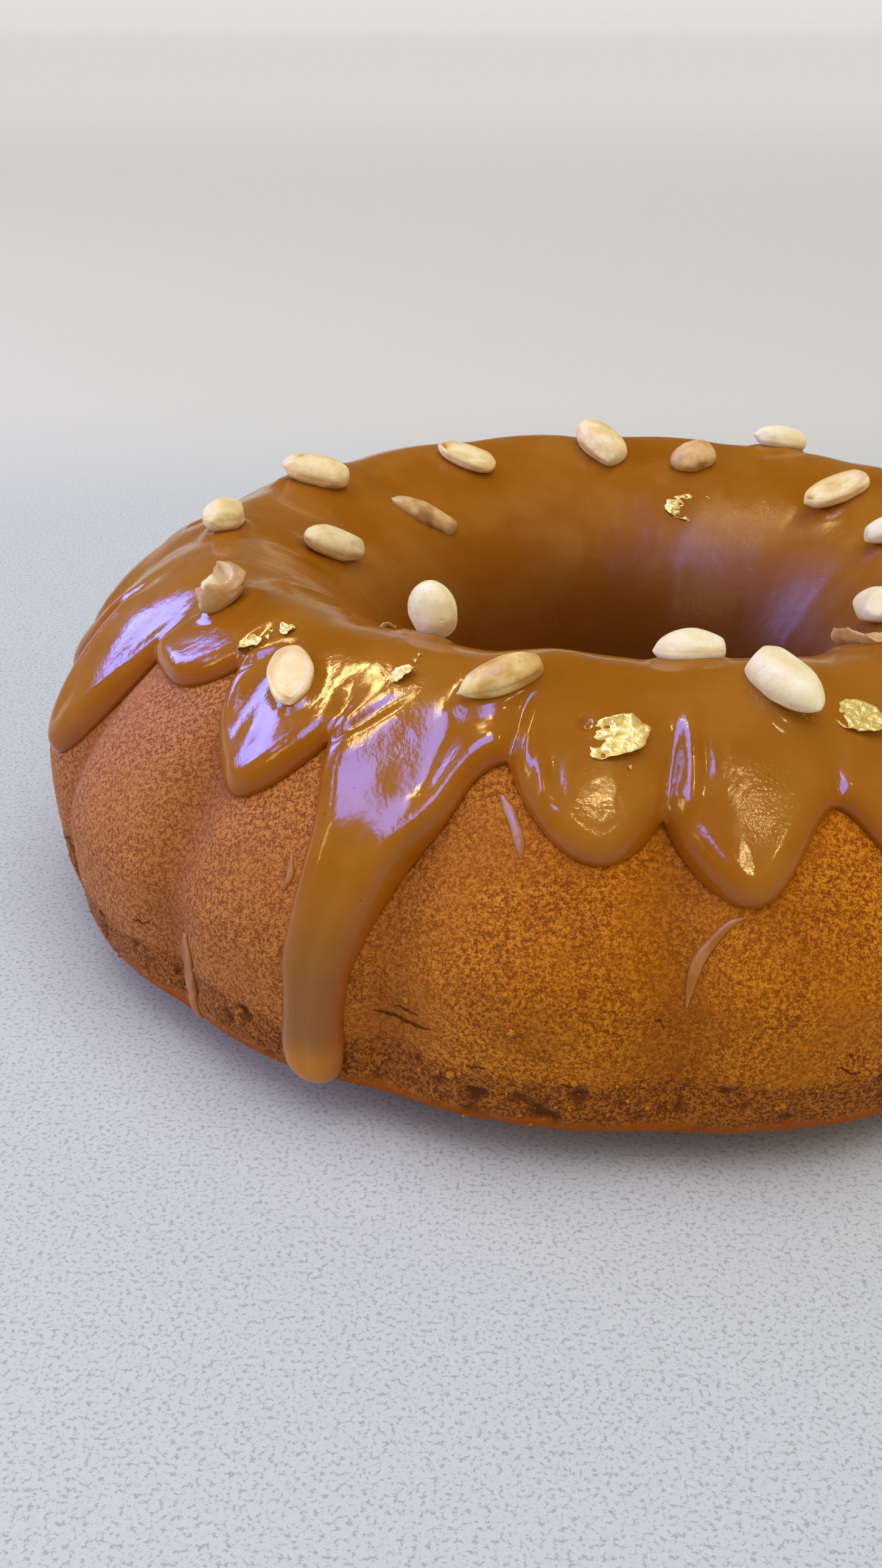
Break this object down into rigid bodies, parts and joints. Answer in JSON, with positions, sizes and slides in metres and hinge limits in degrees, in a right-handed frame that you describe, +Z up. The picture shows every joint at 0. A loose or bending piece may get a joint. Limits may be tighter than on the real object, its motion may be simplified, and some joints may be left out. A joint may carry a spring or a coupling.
{
  "type": "peanut butter ring cake",
  "caption": "Fluted ring cake under a poured caramel-coloured peanut butter glaze with drips, topped with whole and split peanuts and flakes of gold leaf.",
  "frame": {"origin": "on the ring's axis, in the plane the cake rests on", "axes": "+Z up along the ring's axis, -Y towards the side seen in front, +X to its right"},
  "size_m": [0.2519, 0.2519, 0.0856],
  "materials": {
    "crust": "golden brown baked crust, finely porous, matt",
    "caramel_glaze": "set peanut butter glaze, opaque caramel brown, glossy",
    "peanut": "blanched roasted peanut, cream to golden, dull sheen",
    "gold_leaf": "crumpled edible gold leaf, bright"
  },
  "bodies": {
    "root": {"cake": "crust", "glaze": "caramel_glaze", "peanut_01": "peanut", "peanut_02": "peanut", "peanut_03": "peanut", "peanut_04": "peanut", "peanut_05": "peanut", "peanut_06": "peanut", "peanut_07": "peanut", "peanut_08": "peanut", "peanut_09": "peanut", "peanut_10": "peanut", "peanut_11": "peanut", "peanut_12": "peanut", "peanut_13": "peanut", "peanut_14": "peanut", "peanut_15": "peanut", "peanut_16": "peanut", "peanut_17": "peanut", "peanut_18": "peanut", "peanut_19": "peanut", "peanut_20": "peanut", "peanut_21": "peanut", "peanut_22": "peanut", "peanut_23": "peanut", "peanut_24": "peanut", "peanut_25": "peanut"}
  },
  "joints": []
}
